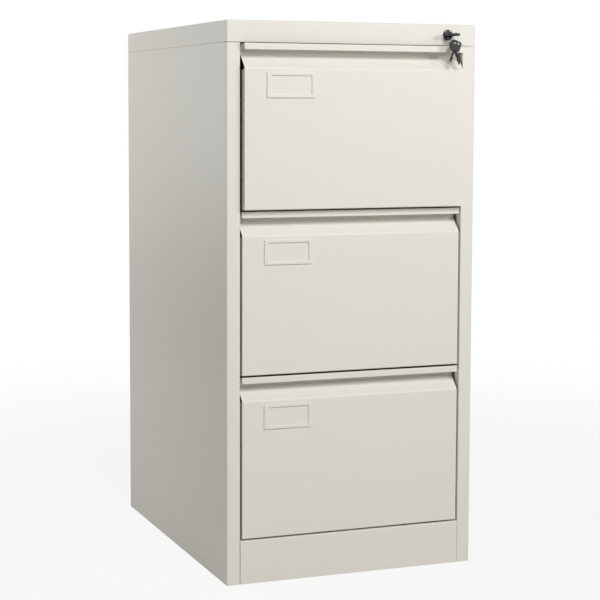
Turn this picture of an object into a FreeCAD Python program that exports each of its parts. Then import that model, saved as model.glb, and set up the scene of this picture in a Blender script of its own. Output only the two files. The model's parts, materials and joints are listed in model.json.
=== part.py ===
import FreeCAD, Part
import math
import os
import Sketcher

# Three-drawer steel filing cabinet, millimetres.
# Frame: +X right, +Y back, +Z up; the origin is on the floor, under the middle of the carcass.
# Drawer 1 is the top one. It stands slightly open, as its ajar size says.

SIZES = {
    # carcass
    "cabinet_width": 480.0,
    "cabinet_depth": 640.0,
    "cabinet_height": 1000.0,
    "panel_sheet": 1.0,
    "lid_flange": 38.0,
    "lid_return": 12.0,
    "lid_seam": 0.8,
    "post_width": 25.0,
    "post_depth": 20.0,
    "post_return": 9.0,
    "rear_flange": 20.0,
    "floor_flange": 20.0,
    "panel_play": 0.4,
    "tongue_rise": 14.0,
    "tongue_drop": 8.0,
    "plinth_height": 78.5,
    "plinth_return": 25.0,
    "rear_panel_rise": 26.0,
    # drawer fronts
    "front_gap": 3.0,
    "top_gap": 1.5,
    "side_gap": 4.0,
    "front_sheet": 1.0,
    "front_return": 16.0,
    "lip_height": 11.5,
    "lip_hem": 2.0,
    "recess_depth": 23.0,
    "recess_upper": 19.5,
    "recess_lower": 43.0,
    "ajar": 12.0,
    # drawer trays
    "tray_sheet": 1.0,
    "tray_length": 562.0,
    "tray_lift": 5.0,
    "tray_wall": 235.0,
    "back_height": 226.0,
    "back_flange": 12.0,
    "inner_front_margin": 2.0,
    "rail_width": 10.0,
    "rail_drop": 14.0,
    "rail_inset": 3.0,
    # card holders
    "holder_width": 90.4,
    "holder_height": 45.0,
    "holder_left": 40.5,
    "holder_below_top": 50.0,
    "holder_thick": 2.2,
    "holder_left_rim": 8.1,
    "holder_rim": 6.1,
    "card_slot": 0.8,
    # telescopic slides
    "slide_length": 560.0,
    "slide_height": 45.0,
    "slide_width": 12.7,
    "slide_rise": 70.0,
    "slide_steel": 1.2,
    "slide_setback": 23.0,
    "drawer_travel": 512.0,
    "ball_gap": 4.1,
    "ball_play": 0.1,
    "middle_setback": 3.0,
    "middle_reach": 8.0,
    "cage_sheet": 0.7,
    "cage_length": 200.0,
    "cage_setback": 160.0,
    # uprights and cross rails
    "upright_room": 9.0,
    "upright_width": 40.0,
    "upright_flange": 9.0,
    "upright_rear_inset": 80.0,
    "upright_head_room": 14.0,
    "cross_rail_height": 28.0,
    "cross_rail_depth": 22.0,
    "cross_rail_room": 9.0,
    "cross_rail_play": 4.0,
    # lock and keys
    "lock_inset": 56.0,
    "lock_head_rim": 1.5,
    "lock_head_length": 4.2,
    "lock_sleeve_diameter": 16.0,
    "lock_sleeve_length": 17.0,
    "lock_hole_play": 0.2,
    "barrel_diameter": 12.0,
    "barrel_play": 0.06,
    "barrel_tail": 1.5,
    "nut_wall": 4.0,
    "nut_thick": 3.0,
    "cam_sheet": 2.0,
    "cam_throw": 10.0,
    "cam_arm": 7.0,
    "cam_pin_diameter": 5.0,
    "cam_pin_length": 8.0,
    "bar_sheet": 2.5,
    "bar_width": 18.0,
    "bar_gap": 3.0,
    "bar_foot": 120.0,
    "bar_arm_height": 14.0,
    "finger_height": 10.0,
    "finger_reach": 13.0,
    "finger_clearance": 2.0,
    "catch_sheet": 2.0,
    "catch_play": 2.0,
    "catch_height": 20.0,
    "catch_rise": 200.0,
    "catch_reach": 14.7,
    "catch_leg": 28.0,
    "guide_height": 16.0,
    "guide_play": 0.35,
    "guide_wall": 1.2,
    "key_blade_width": 8.4,
    "key_blade_thick": 2.0,
    "key_blade_inside": 18.0,
    "key_neck": 5.0,
    "key_head_width": 23.0,
    "key_head_length": 27.0,
    "key_head_thick": 4.5,
    "key_slot_length": 13.0,
    "key_slot_depth": 8.5,
    "key_bridge": 4.0,
    "ring_radius": 8.6,
    "ring_wire": 1.2,
    "ring_offset": 2.2,
    # screws in the back
    "screw_head_diameter": 7.0,
    "screw_head_length": 1.8,
    "screw_diameter": 3.2,
    "screw_length": 6.0,
    "screw_play": 0.2,
}

DRAWERS = (1, 2, 3)
SIDES = {"left": -1, "right": 1}

doc = FreeCAD.newDocument("filing_cabinet")
sheet = doc.addObject("Spreadsheet::Sheet", "Sizes")
nodes = []


class Size:
    """A length with its value and the expression that binds it to the sheet."""

    def __init__(self, value, text):
        self.value = value
        self.text = text

    def __add__(self, other):
        return combine(self, other, "+", self.value + plain(other))

    def __radd__(self, other):
        return combine(other, self, "+", plain(other) + self.value)

    def __sub__(self, other):
        return combine(self, other, "-", self.value - plain(other))

    def __rsub__(self, other):
        return combine(other, self, "-", plain(other) - self.value)

    def __mul__(self, other):
        return combine(self, other, "*", self.value * plain(other))

    def __rmul__(self, other):
        return combine(other, self, "*", plain(other) * self.value)

    def __truediv__(self, other):
        return combine(self, other, "/", self.value / plain(other))

    def __neg__(self):
        return 0 - self


def plain(item):
    return item.value if isinstance(item, Size) else float(item)


def text_of(item):
    return item.text if isinstance(item, Size) else f"({float(item):.6f})"


def combine(first, second, sign, value):
    return Size(value, f"({text_of(first)} {sign} {text_of(second)})")


def root_of(item):
    return Size(math.sqrt(item.value), f"sqrt({item.text})")


def fill_sheet():
    for row, (name, value) in enumerate(SIZES.items(), start=1):
        sheet.set(f"A{row}", name)
        sheet.set(f"B{row}", str(value))
        sheet.setAlias(f"B{row}", name)
    doc.recompute()


class Named:
    """The driving sizes, one attribute each."""


def named_sizes():
    found = Named()
    for name, value in SIZES.items():
        setattr(found, name, Size(value, f"Sizes.{name}"))
    return found


d = named_sizes()

# ---- sizes that several pieces share ----
half_width = d.cabinet_width / 2
half_depth = d.cabinet_depth / 2
front_face = -half_depth
under_lid = d.cabinet_height - d.lid_flange
opening_half = half_width - d.post_width
front_half = opening_half - d.side_gap
fronts_bottom = d.plinth_height + d.front_gap
fronts_top = under_lid - d.top_gap
pitch = (fronts_top - fronts_bottom + d.front_gap) / len(DRAWERS)
front_height = pitch - d.front_gap
recess_wall = d.recess_depth + d.front_sheet
slide_plane = front_half - d.front_sheet
tray_half = slide_plane - d.slide_width
upright_front = front_face + recess_wall + d.upright_room
lock_x = half_width - d.lock_inset
lock_z = d.cabinet_height - d.lid_flange / 2
lock_tail = front_face + d.lock_sleeve_length + d.barrel_tail
cam_back = lock_tail + d.cam_sheet
bar_front = cam_back + d.bar_gap
bar_drop = d.cam_throw * math.sqrt(2)
key_head_back = front_face - d.lock_head_length - d.key_neck
key_head_front = key_head_back - d.key_head_length + d.key_neck
ring_y = key_head_front + d.key_bridge / 2
ring_x = lock_x + d.ring_offset
ring_z = lock_z + d.key_head_thick / 2 + d.ring_wire / 2 + 0.3 - d.ring_radius


def front_z(number):
    return fronts_bottom + pitch * (len(DRAWERS) - number)


def ajar(number):
    return d.ajar if number == 1 else Size(0.0, "(Sizes.ajar * 0)")


def front_y(number, share=1.0):
    return front_face - ajar(number) * share


# ---- building blocks ----
def bind(item, path, value):
    item.setExpression(path, text_of(value))


def box(name, start, end):
    item = doc.addObject("Part::Box", name)
    for path, low, high in zip(("Length", "Width", "Height"), start, end):
        bind(item, path, high - low)
    for axis, low in zip("xyz", start):
        bind(item, f"Placement.Base.{axis}", low)
    return item


def mirrored_box(name, side, inner, outer, low, high):
    """A box between two distances from the middle plane, on one side of it."""
    near, far = (inner, outer) if side > 0 else (-outer, -inner)
    return box(name, (near, low[0], low[1]), (far, high[0], high[1]))


def rod_along_y(name, x, z, start, end, radius):
    item = doc.addObject("Part::Cylinder", name)
    item.Placement = FreeCAD.Placement(FreeCAD.Vector(), FreeCAD.Rotation(FreeCAD.Vector(1, 0, 0), -90))
    bind(item, "Radius", radius)
    bind(item, "Height", end - start)
    for axis, value in zip("xyz", (x, start, z)):
        bind(item, f"Placement.Base.{axis}", value)
    return item


def fuse(name, items):
    item = doc.addObject("Part::MultiFuse", name)
    item.Shapes = items
    item.Refine = True
    return item


def cut(name, base, tools):
    item = doc.addObject("Part::Cut", name)
    item.Base = base
    item.Tool = tools[0] if len(tools) == 1 else fuse(name + "_tools", tools)
    return item


def group(name, items):
    item = doc.addObject("Part::Compound", name)
    item.Links = items
    return item


def node(name, item):
    item.Label = name
    nodes.append(item)
    return item


def origin_plane(body, role):
    return next(plane for plane in body.Origin.OriginFeatures if plane.Role == role)


def outline(sketch, points):
    """Closed straight outline, every corner placed from the origin by two bound sizes."""
    spots = [FreeCAD.Vector(plain(u), plain(v), 0) for u, v in points]
    for here, there in zip(spots, spots[1:] + spots[:1]):
        sketch.addGeometry(Part.LineSegment(here, there), False)
    count = len(points)
    for index in range(count):
        sketch.addConstraint(Sketcher.Constraint("Coincident", index, 2, (index + 1) % count, 1))
    for index, (u, v) in enumerate(points):
        for kind, value in (("DistanceX", u), ("DistanceY", v)):
            spot = sketch.addConstraint(Sketcher.Constraint(kind, -1, 1, index, 1, plain(value)))
            sketch.setExpression(f"Constraints[{spot}]", text_of(value))


def extruded(name, role, points, start, length):
    """A PartDesign body: one outline on an origin plane, padded along the plane's normal."""
    body = doc.addObject("PartDesign::Body", name)
    sketch = body.newObject("Sketcher::SketchObject", name + "_outline")
    sketch.AttachmentSupport = [(origin_plane(body, role), "")]
    sketch.MapMode = "FlatFace"
    bind(sketch, "AttachmentOffset.Base.z", start)
    outline(sketch, points)
    pad = body.newObject("PartDesign::Pad", name + "_pad")
    pad.Profile = sketch
    bind(pad, "Length", length)
    sketch.Visibility = False
    return body


def extruded_x(name, points, start, end):
    return extruded(name, "YZ_Plane", points, start, end - start)


def extruded_y(name, points, start, end):
    return extruded(name, "XZ_Plane", points, -end, end - start)


def extruded_z(name, points, start, end):
    return extruded(name, "XY_Plane", points, start, end - start)


def channel(side, web, height, middle, steel, reach):
    """C section across the slides; reach runs from the web towards the middle plane."""
    top = middle + height / 2
    foot = middle - height / 2
    tip = web - reach
    step = steel if plain(reach) > 0 else -steel
    inside = web - step
    return [(side * web, foot), (side * tip, foot), (side * tip, foot + steel),
            (side * inside, foot + steel), (side * inside, top - steel), (side * tip, top - steel),
            (side * tip, top), (side * web, top)]


# ---- carcass ----
def screw_spots():
    rows = (d.cabinet_height * 0.1, d.cabinet_height * 0.5, d.cabinet_height * 0.9)
    edge = half_width - d.rear_flange / 2
    lid_row = [(edge * share, lock_z) for share in (-0.75, 0, 0.75)]
    return lid_row, [(-edge, z) for z in rows], [(edge, z) for z in rows]


def screw_holes(name, spots):
    radius = d.screw_diameter / 2 + d.screw_play
    start = half_depth - d.screw_length
    end = half_depth + d.screw_head_length
    return [rod_along_y(f"{name}_hole_{index}", x, z, start, end, radius)
            for index, (x, z) in enumerate(spots)]


def top_cover():
    low = under_lid
    steel = d.panel_sheet
    outside = box("lid_outside", (-half_width, front_face, low),
                  (half_width, half_depth, d.cabinet_height))
    inside = box("lid_inside", (-half_width + steel, front_face + steel, low - steel),
                 (half_width - steel, half_depth - steel, d.cabinet_height - steel))
    edge = opening_half - d.panel_play
    lip = box("lid_front_return", (-edge, front_face, low), (edge, front_face + d.lid_return, low + steel))
    shell = fuse("lid_shell", [cut("lid_pan", outside, [inside]), lip])
    hole = rod_along_y("lid_lock_hole", lock_x, lock_z, front_face - steel, front_face + 2 * steel,
                       d.lock_sleeve_diameter / 2 + d.lock_hole_play)
    return node("top_cover", cut("top_cover", shell, [hole] + screw_holes("lid", screw_spots()[0])))


def side_panel(word, side):
    steel = d.panel_sheet
    post_end = front_face + d.post_depth
    rear_end = d.rear_flange
    lip_end = d.post_width - d.post_return
    path = [(lip_end, post_end), (d.post_width, post_end), (d.post_width, front_face),
            (steel * 0, front_face), (steel * 0, half_depth), (rear_end, half_depth),
            (rear_end, half_depth - steel), (steel, half_depth - steel), (steel, front_face + steel),
            (d.post_width - steel, front_face + steel), (d.post_width - steel, post_end - steel),
            (lip_end, post_end - steel)]
    corners = [(side * (half_width - inset), y) for inset, y in path]
    top = under_lid - d.lid_seam
    wall = extruded_z(f"{word}_wall", corners, steel * 0, top)
    tongue_span = (front_face + d.post_width, half_depth - d.rear_flange)
    tongue = mirrored_box(f"{word}_tongue", side, half_width - 2 * steel, half_width - steel,
                          (tongue_span[0], top - d.tongue_drop),
                          (tongue_span[1], under_lid + d.tongue_rise))
    foot = mirrored_box(f"{word}_foot", side, half_width - steel - d.floor_flange, half_width - steel,
                        (tongue_span[0], steel * 0), (tongue_span[1], steel))
    whole = fuse(f"{word}_panel", [wall, tongue, foot])
    spots = screw_spots()[1 if side < 0 else 2]
    name = f"{word}_side_panel"
    return node(name, cut(name, whole, screw_holes(word, spots)))


def rear_panel():
    steel = d.panel_sheet
    edge = half_width - 2 * steel - d.panel_play
    back = half_depth - steel
    plate = box("rear_plate", (-edge, back - steel, 2 * steel),
                (edge, back, under_lid + d.rear_panel_rise))
    lid_row, left, right = screw_spots()
    return node("rear_panel", cut("rear_panel", plate, screw_holes("rear", lid_row + left + right)))


def base_panel():
    """Floor plate between the feet of the side panels, with ledges that lie on those feet."""
    steel = d.panel_sheet
    edge = half_width - steel - d.floor_flange - d.panel_play
    post_end = front_face + d.post_depth + d.panel_play
    front_edge = opening_half - d.panel_play
    back = half_depth - 2 * steel
    plate = box("base_plate", (-edge, post_end, steel * 0), (edge, back, steel))
    strip = box("base_strip", (-front_edge, front_face + steel, steel * 0), (front_edge, post_end, steel))
    fold = box("base_fold", (-front_edge, front_face + steel, steel * 0),
               (front_edge, front_face + 2 * steel, d.plinth_height / 3))
    ledges = [mirrored_box(f"base_ledge_{word}", side, edge - d.floor_flange / 2,
                           half_width - 2 * steel - d.panel_play,
                           (front_face + d.post_width, steel), (back, 2 * steel))
              for word, side in SIDES.items()]
    return node("base_panel", fuse("base_panel", [plate, strip, fold] + ledges))


def plinth_panel():
    steel = d.panel_sheet
    top = d.plinth_height
    back = front_face + d.plinth_return
    hem = top - 2 * d.panel_sheet - d.plinth_return / 3
    points = [(front_face, steel * 0), (front_face, top), (back, top), (back, hem),
              (back - steel, hem), (back - steel, top - steel), (front_face + steel, top - steel),
              (front_face + steel, steel * 0)]
    edge = opening_half - d.panel_play
    return node("plinth_panel", extruded_x("plinth_panel", points, -edge, edge))


def upright(word, side, start):
    """Hat-shaped post of five flats: two flanges on the panel, two sides and the web."""
    steel = d.panel_sheet
    wall = half_width - steel
    end = start + d.upright_width
    web = slide_plane
    foot = 2 * steel
    top = under_lid - d.upright_head_room
    flats = {
        "front_flange": (wall - steel, wall, start - d.upright_flange, start),
        "front_side": (web + steel, wall, start, start + steel),
        "web": (web, web + steel, start, end),
        "rear_side": (web + steel, wall, end - steel, end),
        "rear_flange": (wall - steel, wall, end, end + d.upright_flange),
    }
    pieces = [mirrored_box(f"{word}_{part}", side, inner, outer, (near, foot), (far, top))
              for part, (inner, outer, near, far) in flats.items()]
    return node(word, group(word, pieces))


def uprights():
    rear_start = half_depth - d.upright_rear_inset - d.upright_width
    for word, side in SIDES.items():
        upright(f"front_{word}_upright", side, upright_front)
        upright(f"rear_{word}_upright", side, rear_start)


def cross_rail(number):
    """Channel behind the gap over one drawer front, open at the back."""
    steel = d.panel_sheet
    start = front_face + recess_wall + d.cross_rail_room
    end = start + d.cross_rail_depth
    top = front_z(number) + pitch - d.cross_rail_play
    foot = top - d.cross_rail_height
    points = [(start, foot), (end, foot), (end, foot + steel), (start + steel, foot + steel),
              (start + steel, top - steel), (end, top - steel), (end, top), (start, top)]
    return extruded_x(f"cross_rail_{number}", points, -slide_plane, slide_plane)


def cross_rails():
    return node("cross_rails", group("cross_rails", [cross_rail(number) for number in DRAWERS[1:]]))


def rear_screws():
    spots = sum(screw_spots(), [])
    screws = []
    for index, (x, z) in enumerate(spots):
        head = rod_along_y(f"screw_head_{index}", x, z, half_depth,
                           half_depth + d.screw_head_length, d.screw_head_diameter / 2)
        shank = rod_along_y(f"screw_shank_{index}", x, z, half_depth - d.screw_length, half_depth,
                            d.screw_diameter / 2)
        screws.append(fuse(f"screw_{index}", [head, shank]))
    return node("rear_screws", group("rear_screws", screws))


# ---- telescopic slides ----
def slide_z(number):
    return front_z(number) + d.slide_rise


def slide_span(number, share, start, length):
    first = front_face + start - ajar(number) * share
    return first, first + length


def pair(name, maker):
    return node(name, group(name, [maker(word, side) for word, side in SIDES.items()]))


def member(name, number, share, web, height, reach):
    """The left and right members of one kind on one drawer."""
    start, end = slide_span(number, share, d.slide_setback, d.slide_length)

    def one(word, side):
        points = channel(side, web, height, slide_z(number), d.slide_steel, reach)
        return extruded_y(f"{name}_{word}", points, start, end)

    return pair(name, one)


def ball_rows(name, side, number, distance, rise, radius, span):
    balls = []
    count = 8
    for row in (-1, 1):
        for index in range(count):
            ball = doc.addObject("Part::Sphere", f"{name}_ball_{row + 1}_{index}")
            turn = FreeCAD.Rotation(FreeCAD.Vector(0, 0, 1), 90 + side * 90)
            ball.Placement = FreeCAD.Placement(FreeCAD.Vector(), turn)
            bind(ball, "Radius", radius)
            y = span[0] + (span[1] - span[0]) * ((index + 0.5) / count)
            spot = (side * distance, y, slide_z(number) + row * rise)
            for axis, value in zip("xyz", spot):
                bind(ball, f"Placement.Base.{axis}", value)
            balls.append(ball)
    return balls


def ball_cage(name, number, share, web, reach, rise, radius):
    span = slide_span(number, share, d.cage_setback, d.cage_length)
    height = 2 * rise + d.cage_sheet

    def one(word, side):
        part_name = f"{name}_{word}"
        points = channel(side, web, height, slide_z(number), d.cage_sheet, reach)
        strip = extruded_y(part_name, points, span[0], span[1])
        middle = web - reach * 0.7
        return fuse(part_name + "_set", [strip] + ball_rows(part_name, side, number, middle, rise,
                                                            radius, span))

    return pair(name, one)


def slides(number):
    outer_height = d.slide_height
    middle_height = outer_height - 2 * d.slide_steel - 2 * d.ball_gap
    inner_height = middle_height - 2 * d.slide_steel - 2 * d.ball_gap
    middle_web = slide_plane - d.middle_setback
    inner_tip = d.slide_width - d.middle_setback - 2 * d.slide_steel - 2 * d.cage_sheet - 0.3
    member(f"slide_outer_{number}", number, 0.0, slide_plane, outer_height,
           d.slide_width - d.slide_steel - 1)
    member(f"slide_middle_{number}", number, 0.5, middle_web, middle_height, d.middle_reach)
    member(f"slide_inner_{number}", number, 1.0, tray_half, inner_height, -inner_tip)
    radius = (d.ball_gap - 2 * d.ball_play) / 2
    outer_rise = (middle_height + d.ball_gap) / 2
    inner_rise = (inner_height + d.ball_gap) / 2
    web_room = d.middle_setback - d.slide_steel - d.cage_sheet
    outer_web = slide_plane - d.slide_steel - web_room / 2
    inner_web = middle_web - d.slide_steel - d.cage_sheet
    ball_cage(f"slide_cage_outer_{number}", number, 0.25, outer_web, d.middle_reach, outer_rise, radius)
    ball_cage(f"slide_cage_inner_{number}", number, 0.75, inner_web,
              d.middle_reach - d.slide_steel - 2 * d.cage_sheet, inner_rise, radius)


# ---- drawers ----
def drawer_front(number):
    """One folded sheet: flat face, slanted grip recess, roof and hemmed lip."""
    y = front_y(number)
    z = front_z(number)
    steel = d.front_sheet
    top = z + front_height
    lip = top - d.lip_height
    upper = top - d.recess_upper
    lower = top - d.recess_lower
    wall = y + d.recess_depth
    rise = d.recess_lower - d.recess_upper
    slope = root_of(d.recess_depth * d.recess_depth + rise * rise)
    bend = steel * (slope - rise) / d.recess_depth
    back = y + d.front_return
    points = [(y, z), (y, lower), (wall, upper), (wall, top - steel), (y + d.lip_hem, top - steel),
              (y + d.lip_hem, lip), (y, lip), (y, top), (wall + steel, top),
              (wall + steel, upper - bend), (y + steel, lower - bend), (y + steel, z + steel),
              (back, z + steel), (back, z)]
    skin = extruded_x(f"front_skin_{number}", points, -front_half, front_half)
    cheeks = [mirrored_box(f"front_cheek_{number}_{word}", side, front_half - steel, front_half,
                           (y + steel, z + steel), (back, lower - steel * 4))
              for word, side in SIDES.items()]
    name = f"drawer_{number}_front"
    return node(name, fuse(name, [skin] + cheeks))


def inner_front(number):
    y = front_y(number)
    z = front_z(number) + d.inner_front_margin
    steel = d.tray_sheet
    face = y + recess_wall
    edge = tray_half
    top = front_z(number) + front_height - d.inner_front_margin
    fold_top = front_z(number) + front_height - d.recess_lower - 4 * steel
    fold = y + d.front_return
    plate = box(f"inner_plate_{number}", (-edge, face, z), (edge, face + steel, top))
    foot = box(f"inner_foot_{number}", (-edge, fold, z), (edge, face, z + steel))
    sides = [mirrored_box(f"inner_fold_{number}_{word}", side, edge - steel, edge,
                          (fold, z), (face, fold_top)) for word, side in SIDES.items()]
    name = f"drawer_{number}_inner_front"
    return node(name, fuse(name, [plate, foot] + sides))


def tray_start(number):
    return front_y(number) + recess_wall + d.tray_sheet


def tray(number):
    """Floor and two walls folded from one sheet."""
    foot = front_z(number) + d.tray_lift
    top = foot + d.tray_wall
    steel = d.tray_sheet
    edge = tray_half
    points = [(-edge, foot), (edge, foot), (edge, top), (edge - steel, top), (edge - steel, foot + steel),
              (steel - edge, foot + steel), (steel - edge, top), (-edge, top)]
    start = tray_start(number)
    name = f"drawer_{number}_tray"
    return node(name, extruded_y(name, points, start, start + d.tray_length))


def tray_back(number):
    foot = front_z(number) + d.tray_lift + d.tray_sheet
    top = foot + d.back_height
    steel = d.tray_sheet
    end = tray_start(number) + d.tray_length
    fold = end - d.back_flange
    points = [(end, foot), (end, top), (fold, top), (fold, top - steel), (end - steel, top - steel),
              (end - steel, foot)]
    edge = tray_half - steel
    name = f"drawer_{number}_back"
    return node(name, extruded_x(name, points, -edge, edge))


def file_rails(number):
    """Rails along the tops of the tray walls, for the hooks of hanging files."""
    top_edge = front_z(number) + d.tray_lift + d.tray_wall
    steel = d.tray_sheet
    start = tray_start(number) + d.rail_inset
    end = tray_start(number) + d.tray_length - d.back_flange - d.rail_inset
    outside = tray_half + steel
    inside = outside - d.rail_width

    def one(word, side):
        path = [(outside, top_edge - d.rail_drop), (outside, top_edge + steel),
                (inside, top_edge + steel), (inside, top_edge - d.rail_drop / 2),
                (inside + steel, top_edge - d.rail_drop / 2), (inside + steel, top_edge),
                (tray_half, top_edge), (tray_half, top_edge - d.rail_drop)]
        corners = [(side * x, z) for x, z in path]
        return extruded_y(f"file_rail_{number}_{word}", corners, start, end)

    return pair(f"drawer_{number}_file_rails", one)


def card_holder(number):
    y = front_y(number)
    left = d.holder_left - front_half
    right = left + d.holder_width
    top = front_z(number) + front_height - d.holder_below_top
    foot = top - d.holder_height
    face = y - d.holder_thick
    rim = d.holder_rim
    plate = box(f"holder_plate_{number}", (left, face, foot), (right, y, top))
    window = box(f"holder_window_{number}", (left + d.holder_left_rim, face, foot + rim),
                 (right - rim, y, top - rim))
    slot = box(f"holder_slot_{number}", (left + d.holder_left_rim / 2, y - d.card_slot, foot + rim / 2),
               (right, y, top - rim / 2))
    name = f"drawer_{number}_card_holder"
    return node(name, cut(name, plate, [window, slot]))


def lock_catch(number):
    """Angle on the right wall of a tray; the lock bar's finger comes down in front of it."""
    start = front_y(number) - front_face + bar_front + d.bar_sheet + d.catch_play
    steel = d.catch_sheet
    wall = tray_half
    points = [(wall, start), (wall + d.catch_reach, start), (wall + d.catch_reach, start + steel),
              (wall + steel, start + steel), (wall + steel, start + d.catch_leg),
              (wall, start + d.catch_leg)]
    foot = front_z(number) + d.catch_rise - d.catch_height / 2
    name = f"drawer_{number}_lock_catch"
    return node(name, extruded_z(name, points, foot, foot + d.catch_height))


# ---- lock ----
def lock_housing():
    head = rod_along_y("lock_head", lock_x, lock_z, front_face - d.lock_head_length, front_face,
                       d.lock_sleeve_diameter / 2 + d.lock_head_rim)
    sleeve = rod_along_y("lock_sleeve", lock_x, lock_z, front_face,
                         front_face + d.lock_sleeve_length, d.lock_sleeve_diameter / 2)
    bore = rod_along_y("lock_bore", lock_x, lock_z, front_face - d.lock_head_length,
                       front_face + d.lock_sleeve_length, d.barrel_diameter / 2 + d.barrel_play)
    return node("lock_housing", cut("lock_housing", fuse("lock_case", [head, sleeve]), [bore]))


def lock_nut():
    nut = doc.addObject("Part::Prism", "nut_blank")
    nut.Polygon = 6
    nut.Placement = FreeCAD.Placement(FreeCAD.Vector(), FreeCAD.Rotation(FreeCAD.Vector(1, 0, 0), -90))
    start = front_face + d.panel_sheet
    across = d.lock_sleeve_diameter + 2 * d.nut_wall
    bind(nut, "Circumradius", across / math.sqrt(3))
    bind(nut, "Height", d.nut_thick)
    for axis, value in zip("xyz", (lock_x, start, lock_z)):
        bind(nut, f"Placement.Base.{axis}", value)
    bore = rod_along_y("nut_bore", lock_x, lock_z, start, start + d.nut_thick,
                       d.lock_sleeve_diameter / 2)
    return node("lock_nut", cut("lock_nut", nut, [bore]))


def lock_barrel():
    face = front_face - d.lock_head_length
    plug = rod_along_y("barrel_plug", lock_x, lock_z, face, lock_tail, d.barrel_diameter / 2)
    play = d.lock_hole_play
    half = d.key_blade_width / 2 + play
    thick = d.key_blade_thick / 2 + play
    keyway = box("barrel_keyway", (lock_x - half, face, lock_z - thick),
                 (lock_x + half, face + d.key_blade_inside + play, lock_z + thick))
    return node("lock_barrel", cut("lock_barrel", plug, [keyway]))


def cam_pin_spot():
    reach = d.cam_throw / math.sqrt(2)
    return lock_x + reach, lock_z + reach


def lock_cam():
    """Plate on the barrel's tail, its arm 45 degrees up to the right, with a crank pin."""
    x, z = cam_pin_spot()
    boss = rod_along_y("cam_boss", lock_x, lock_z, lock_tail, cam_back, d.barrel_diameter / 2 + 1)
    tip = rod_along_y("cam_tip", x, z, lock_tail, cam_back, d.cam_arm / 2)
    arm = doc.addObject("Part::Box", "cam_bridge")
    arm.Placement = FreeCAD.Placement(FreeCAD.Vector(), FreeCAD.Rotation(FreeCAD.Vector(0, 1, 0), -45))
    bind(arm, "Length", d.cam_throw)
    bind(arm, "Width", d.cam_sheet)
    bind(arm, "Height", d.cam_arm)
    corner = d.cam_arm / (2 * math.sqrt(2))
    for axis, value in zip("xyz", (lock_x + corner, lock_tail, lock_z - corner)):
        bind(arm, f"Placement.Base.{axis}", value)
    pin = rod_along_y("cam_pin", x, z, cam_back, cam_back + d.cam_pin_length, d.cam_pin_diameter / 2)
    return node("lock_cam", fuse("lock_cam", [boss, tip, arm, pin]))


def bar_edges():
    inner = opening_half + 2 * d.panel_sheet
    return inner, inner + d.bar_width


def finger_foot(number):
    return front_z(number) + d.catch_rise + d.catch_height / 2 + d.finger_clearance


def lock_bar():
    inner, outer = bar_edges()
    back = bar_front + d.bar_sheet
    x, z = cam_pin_spot()
    top = z + d.bar_arm_height / 2
    strip = box("bar_strip", (inner, bar_front, d.bar_foot), (outer, back, top))
    arm = box("bar_arm", (lock_x + 2, bar_front, top - d.bar_arm_height), (inner, back, top))
    fingers = [box(f"bar_finger_{number}", (inner - d.finger_reach, bar_front, finger_foot(number)),
                   (inner, back, finger_foot(number) + d.finger_height)) for number in DRAWERS]
    reach = d.cam_pin_diameter / 2 + 0.5
    slot = box("bar_slot", (x - reach, bar_front, z - reach - 0.2),
               (lock_x + d.cam_throw + reach, back, z + reach + 0.2))
    return node("lock_bar", group("lock_bar", [strip, cut("bar_slotted_arm", arm, [slot])] + fingers))


def lock_bar_guides():
    inner, outer = bar_edges()
    play = d.guide_play
    wall = d.guide_wall
    start = bar_front - play - wall
    guides = []
    for index, number in enumerate(DRAWERS):
        foot = front_z(number) + pitch / 3
        block = box(f"guide_block_{index}", (inner - play - wall, start, foot),
                    (outer + play + wall, upright_front, foot + d.guide_height))
        slot = box(f"guide_slot_{index}", (inner - play, bar_front - play, foot),
                   (outer + play, bar_front + d.bar_sheet + play, foot + d.guide_height))
        guides.append(cut(f"guide_{index}", block, [slot]))
    return node("lock_bar_guides", group("lock_bar_guides", guides))


# ---- keys ----
def lock_key():
    """The key in the lock, its flat lying level."""
    face = front_face - d.lock_head_length
    half = d.key_blade_width / 2
    thick = d.key_blade_thick / 2
    blade = box("key_blade", (lock_x - half, key_head_back, lock_z - thick),
                (lock_x + half, face + d.key_blade_inside, lock_z + thick))
    wide = d.key_head_width / 2
    deep = d.key_head_thick / 2
    head = box("key_head", (lock_x - wide, key_head_front, lock_z - deep),
               (lock_x + wide, key_head_back, lock_z + deep))
    slot_start = key_head_front + d.key_bridge
    slot = box("key_slot", (lock_x - d.key_slot_length / 2, slot_start, lock_z - deep),
               (lock_x + d.key_slot_length / 2, slot_start + d.key_slot_depth, lock_z + deep))
    return node("lock_key", fuse("lock_key", [cut("key_grip", head, [slot]), blade]))


def key_ring():
    ring = doc.addObject("Part::Torus", "key_ring")
    ring.Placement = FreeCAD.Placement(FreeCAD.Vector(), FreeCAD.Rotation(FreeCAD.Vector(0, 1, 0), 90))
    bind(ring, "Radius1", d.ring_radius)
    bind(ring, "Radius2", d.ring_wire / 2)
    for axis, value in zip("xyz", (ring_x, ring_y, ring_z)):
        bind(ring, f"Placement.Base.{axis}", value)
    return node("key_ring", ring)


# ---- the whole cabinet ----
def carcass():
    top_cover()
    for word, side in SIDES.items():
        side_panel(word, side)
    rear_panel()
    base_panel()
    plinth_panel()
    uprights()
    cross_rails()
    rear_screws()


def drawer(number):
    drawer_front(number)
    inner_front(number)
    tray(number)
    tray_back(number)
    file_rails(number)
    card_holder(number)
    lock_catch(number)
    slides(number)


def lock():
    lock_housing()
    lock_nut()
    lock_barrel()
    lock_cam()
    lock_bar()
    lock_bar_guides()
    lock_key()
    key_ring()


def check_document():
    for item in doc.Objects:
        if "Invalid" in item.State or "Error" in item.State:
            raise RuntimeError(f"{item.Name} failed: {item.State}")
    for item in nodes:
        if item.Shape.isNull() or not item.Shape.isValid() or not item.Shape.Solids:
            raise RuntimeError(f"{item.Label} has no sound solid")


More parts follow.
